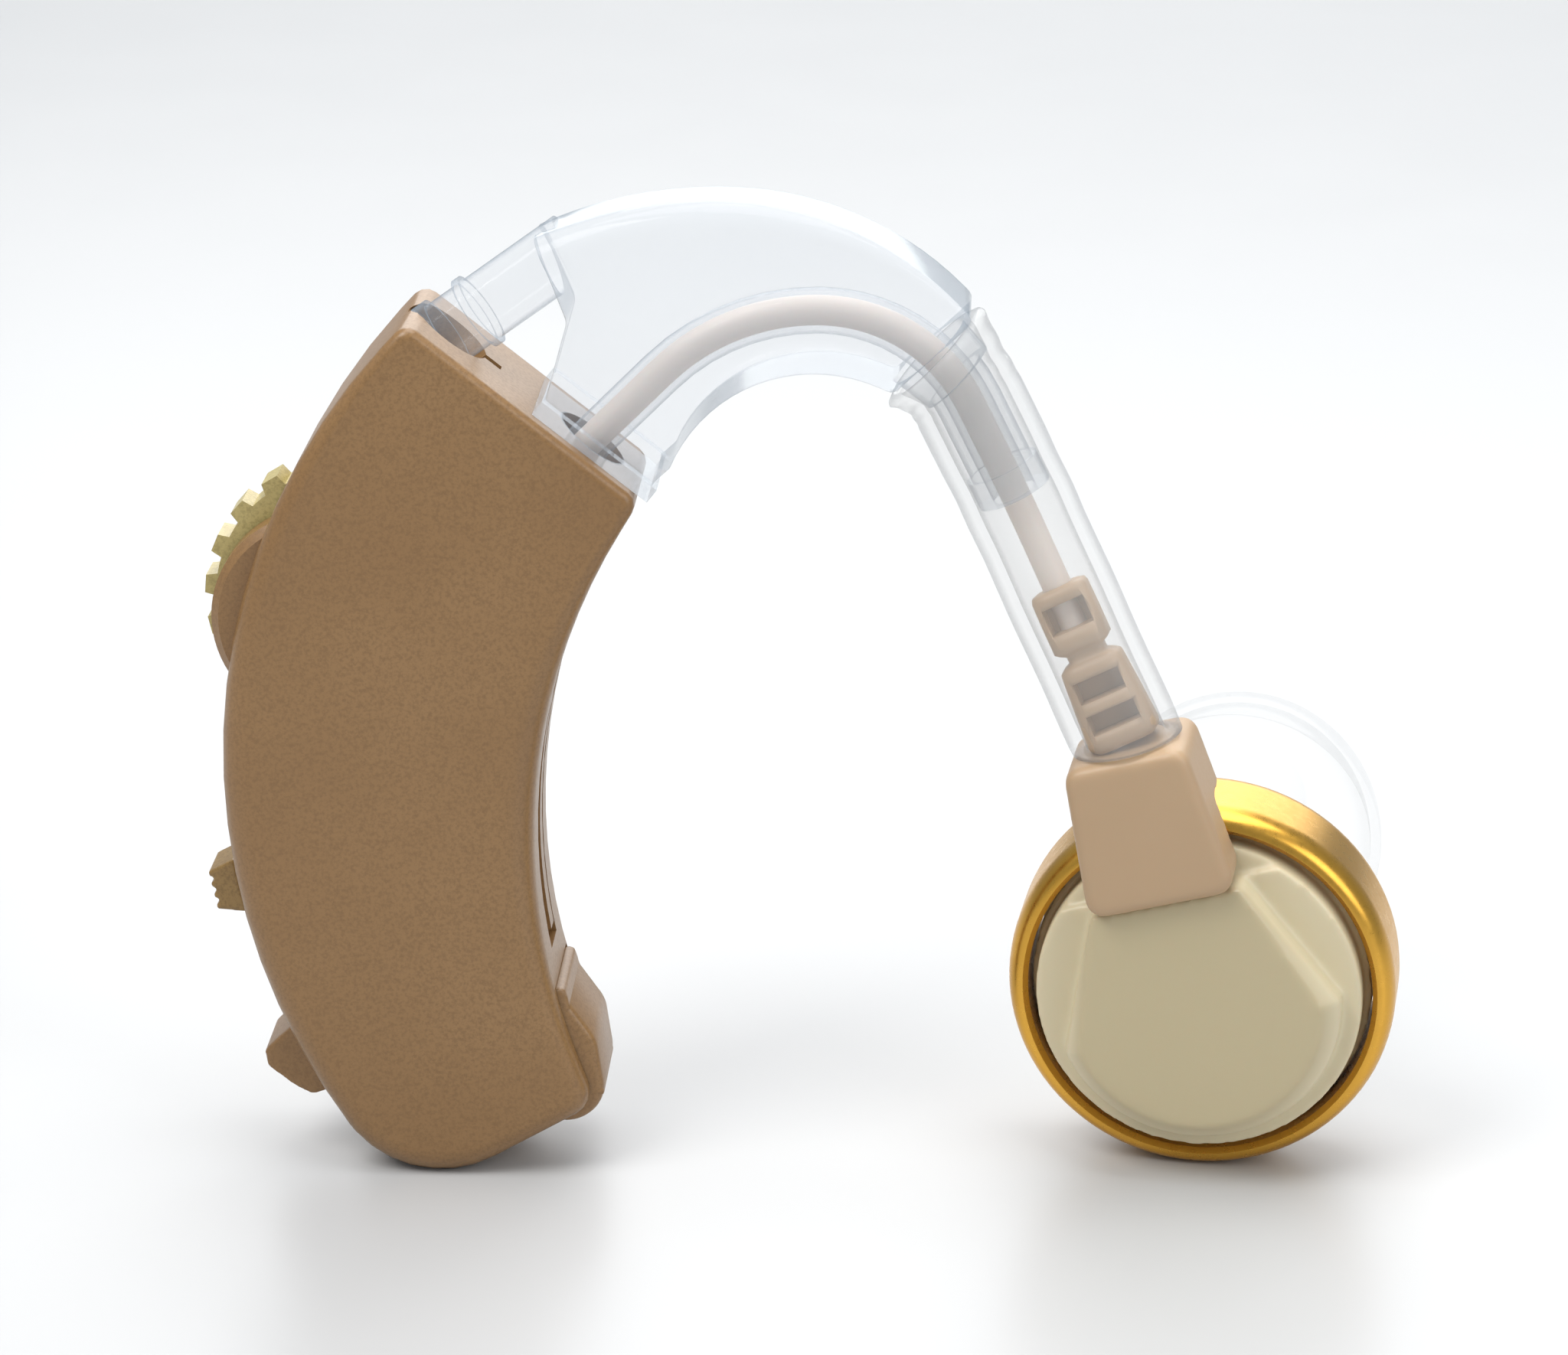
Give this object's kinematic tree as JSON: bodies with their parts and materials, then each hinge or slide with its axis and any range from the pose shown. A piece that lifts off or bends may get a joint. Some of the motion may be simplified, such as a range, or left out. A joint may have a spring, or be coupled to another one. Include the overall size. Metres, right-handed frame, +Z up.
{
  "type": "behind the ear hearing aid",
  "caption": "Tan behind-the-ear hearing aid with clear ear hook, sleeve, gold-ringed button receiver and soft domed ear tip.",
  "frame": {"origin": "middle of the part's box at the floor it stands on", "axes": "+X from the case towards the receiver, +Y away from the near side of the case, +Z up"},
  "size_m": [0.0612, 0.0329, 0.0504],
  "materials": {
    "case_tan": "satin tan shell with fine grain",
    "knob_tan": "satin tan",
    "clear_hard": "clear hard plastic",
    "clear_soft": "soft clear tube",
    "tip_clear": "soft milky clear rubber",
    "lead_skin": "matte pale lead",
    "plug_tan": "soft moulded tan",
    "gold": "satin gold plate",
    "cream": "matte cream",
    "brass": "gold plated contact",
    "steel": "bright steel",
    "dark_steel": "dark plated steel",
    "copper": "enamelled",
    "film": "thin film",
    "board_green": "coated board",
    "dark_plastic": "matte black",
    "soft_black": "soft rubber"
  },
  "bodies": {
    "case": {"case_near": "case_tan", "case_far": "case_tan", "case_screws": "steel", "ear_hook": "clear_hard", "lead": "lead_skin", "sleeve": "clear_soft", "strain_relief": "plug_tan", "plug_body": "plug_tan", "plug_pins": "brass", "volume_base": "dark_plastic", "switch_body": "dark_plastic", "door_pin": "steel", "contact_positive": "brass", "contact_negative": "brass", "circuit_board": "board_green", "amplifier_chip": "dark_plastic", "capacitors": "copper", "resistors": "dark_plastic", "microphone": "steel", "microphone_boot": "soft_black"},
    "wheel": {"volume_wheel": "knob_tan", "wheel_screw": "steel"},
    "knob": {"switch_knob": "knob_tan"},
    "door": {"battery_door": "case_tan", "battery_cell": "steel"},
    "receiver": {"receiver_ring": "gold", "receiver_cover": "cream", "receiver_front": "cream", "receiver_sockets": "brass", "receiver_yoke": "dark_steel", "receiver_magnet": "dark_steel", "voice_coil": "copper", "diaphragm": "film"},
    "tip": {"ear_tip": "tip_clear"}
  },
  "joints": [
    {"name": "volume_turn", "type": "hinge", "parent": "case", "child": "wheel", "pos_m": [-0.0232, -0.01056, 0.02989], "axis": [0, 1, 0], "range_deg": [-135, 135]},
    {"name": "switch_slide", "type": "slide", "parent": "case", "child": "knob", "axis": [-0.1994, 0, 0.9799], "range_m": [0, 0.0034]},
    {"name": "door_swing", "type": "hinge", "parent": "case", "child": "door", "pos_m": [-0.01259, -0.01056, 0.0063], "axis": [0, -1, 0], "range_deg": [0, 85]},
    {"name": "receiver_unplug", "type": "slide", "parent": "case", "child": "receiver", "axis": [0.2706, 0, -0.9627], "range_m": [0, 0.006]},
    {"name": "tip_pull", "type": "slide", "parent": "receiver", "child": "tip", "axis": [0.134, 0.9903, 0.0377], "range_m": [0, 0.008]}
  ]
}
